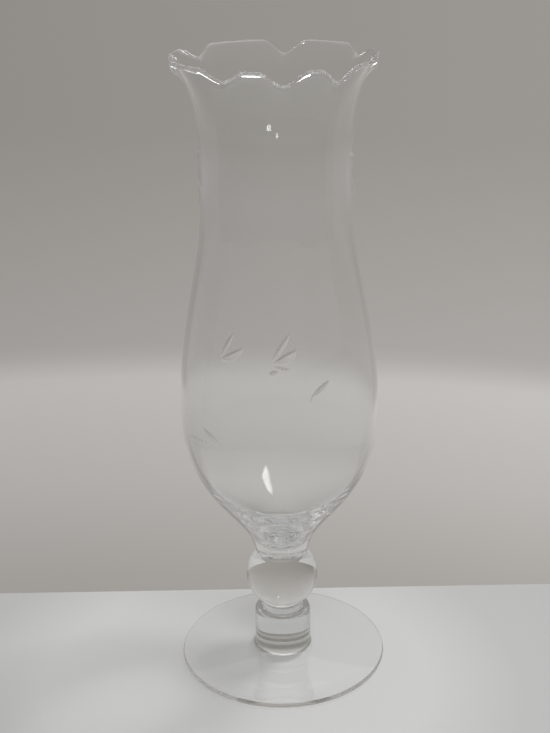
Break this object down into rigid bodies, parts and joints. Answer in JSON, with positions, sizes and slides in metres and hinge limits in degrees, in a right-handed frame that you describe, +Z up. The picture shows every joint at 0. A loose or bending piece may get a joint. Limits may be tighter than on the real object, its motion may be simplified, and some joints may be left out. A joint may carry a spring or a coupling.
{
  "type": "footed flower vase",
  "caption": "Clear glass footed flower vase: tall blown bowl with a soft belly, narrow neck and crimped flared rim, on a ball-knop stem and a round disc foot.",
  "frame": {"origin": "centre of the flat ring under the foot, on the surface that the vase stands on", "axes": "+Z up along the stem to the mouth, -Y towards the viewer of the picture, +X to the viewer's right"},
  "size_m": [0.0866, 0.0866, 0.2541],
  "materials": {
    "clear_glass": "fire-polished clear glass"
  },
  "bodies": {
    "root": {"foot": "clear_glass", "stem_post": "clear_glass", "lower_wafer": "clear_glass", "ball_knop": "clear_glass", "upper_wafer": "clear_glass", "bowl": "clear_glass"}
  },
  "joints": []
}
